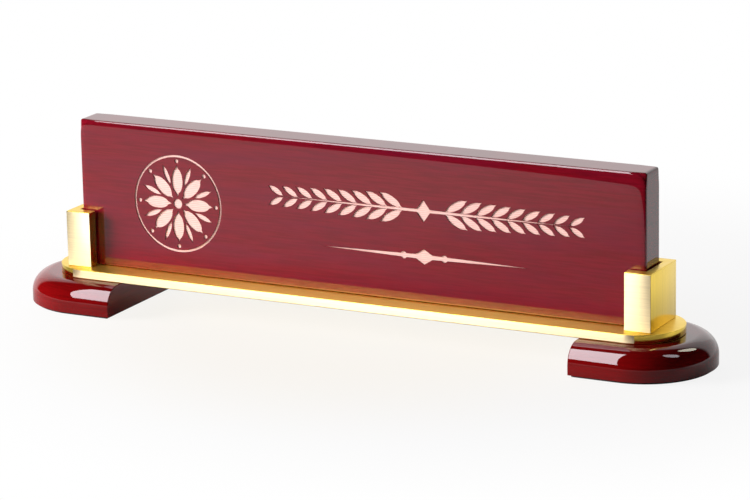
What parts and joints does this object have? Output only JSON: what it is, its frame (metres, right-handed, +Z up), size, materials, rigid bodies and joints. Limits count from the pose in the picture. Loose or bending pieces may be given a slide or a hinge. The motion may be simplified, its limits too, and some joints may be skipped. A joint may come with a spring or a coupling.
{
  "type": "desk name plate",
  "caption": "Free-standing desk name plate: a glossy stained-wood board lifts out of gold channel posts on a round-ended bar with bullnosed D-shaped feet.",
  "frame": {"origin": "centre of the footprint, on the desk surface under the felt pads", "axes": "+X along the board to the reader's right, -Y the side that is read, +Z up"},
  "size_m": [0.305, 0.0576, 0.0782],
  "materials": {
    "board_lacquer": "rosewood stain under polished clear lacquer",
    "foot_lacquer": "deep red stain under polished clear lacquer",
    "gold_metal": "brushed and gold anodised",
    "felt": "pressed black felt",
    "zinc_steel": "zinc plated"
  },
  "bodies": {
    "stand": {"base_bar": "gold_metal", "left_post": "gold_metal", "right_post": "gold_metal", "left_foot": "foot_lacquer", "right_foot": "foot_lacquer", "left_foot_pad": "felt", "right_foot_pad": "felt", "left_foot_screws": "zinc_steel", "right_foot_screws": "zinc_steel", "left_foot_washers": "zinc_steel", "right_foot_washers": "zinc_steel", "left_post_screws": "zinc_steel", "right_post_screws": "zinc_steel"},
    "board": {"name_board": "board_lacquer"}
  },
  "joints": [
    {"name": "board_lift", "type": "slide", "parent": "stand", "child": "board", "axis": [0, 0, 1], "range_m": [0, 0.03]}
  ]
}
